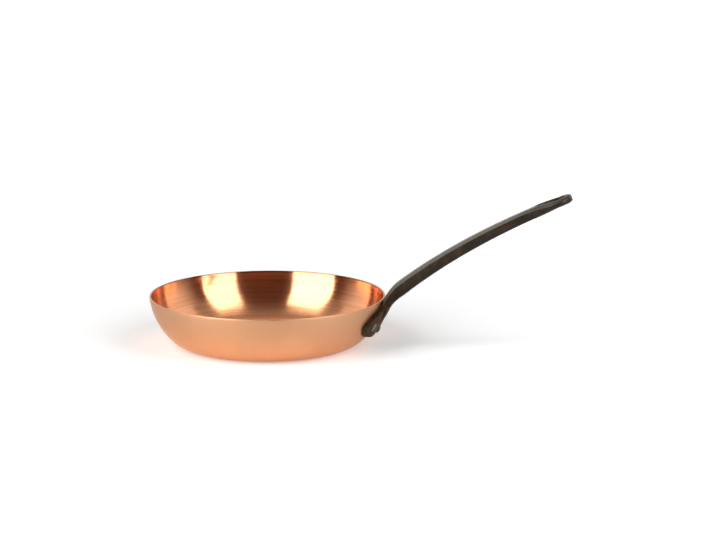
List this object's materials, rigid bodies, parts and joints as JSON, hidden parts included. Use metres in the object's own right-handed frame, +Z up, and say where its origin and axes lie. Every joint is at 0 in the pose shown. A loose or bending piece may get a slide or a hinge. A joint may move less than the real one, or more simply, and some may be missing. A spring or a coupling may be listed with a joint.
{
  "type": "frying pan",
  "caption": "Shallow copper frying pan with a flat base, a curved flaring wall, and a long arched iron handle riveted to the wall and ending in a hanging eye.",
  "frame": {"origin": "centre of the flat base, on the surface that the pan stands on", "axes": "+Z up along the pan's axis, +X along the handle and away from the pan, +Y to the left seen from the pan towards the handle's tip"},
  "size_m": [0.4305, 0.24, 0.1642],
  "materials": {
    "copper": "bare copper, satin outside and brushed in rings inside",
    "iron": "satin blackened cast iron",
    "rivet": "dull hammered iron"
  },
  "bodies": {
    "root": {"pan_body": "copper", "handle": "iron", "rivet_left": "rivet", "rivet_right": "rivet", "rivet_lower": "rivet"}
  },
  "joints": []
}
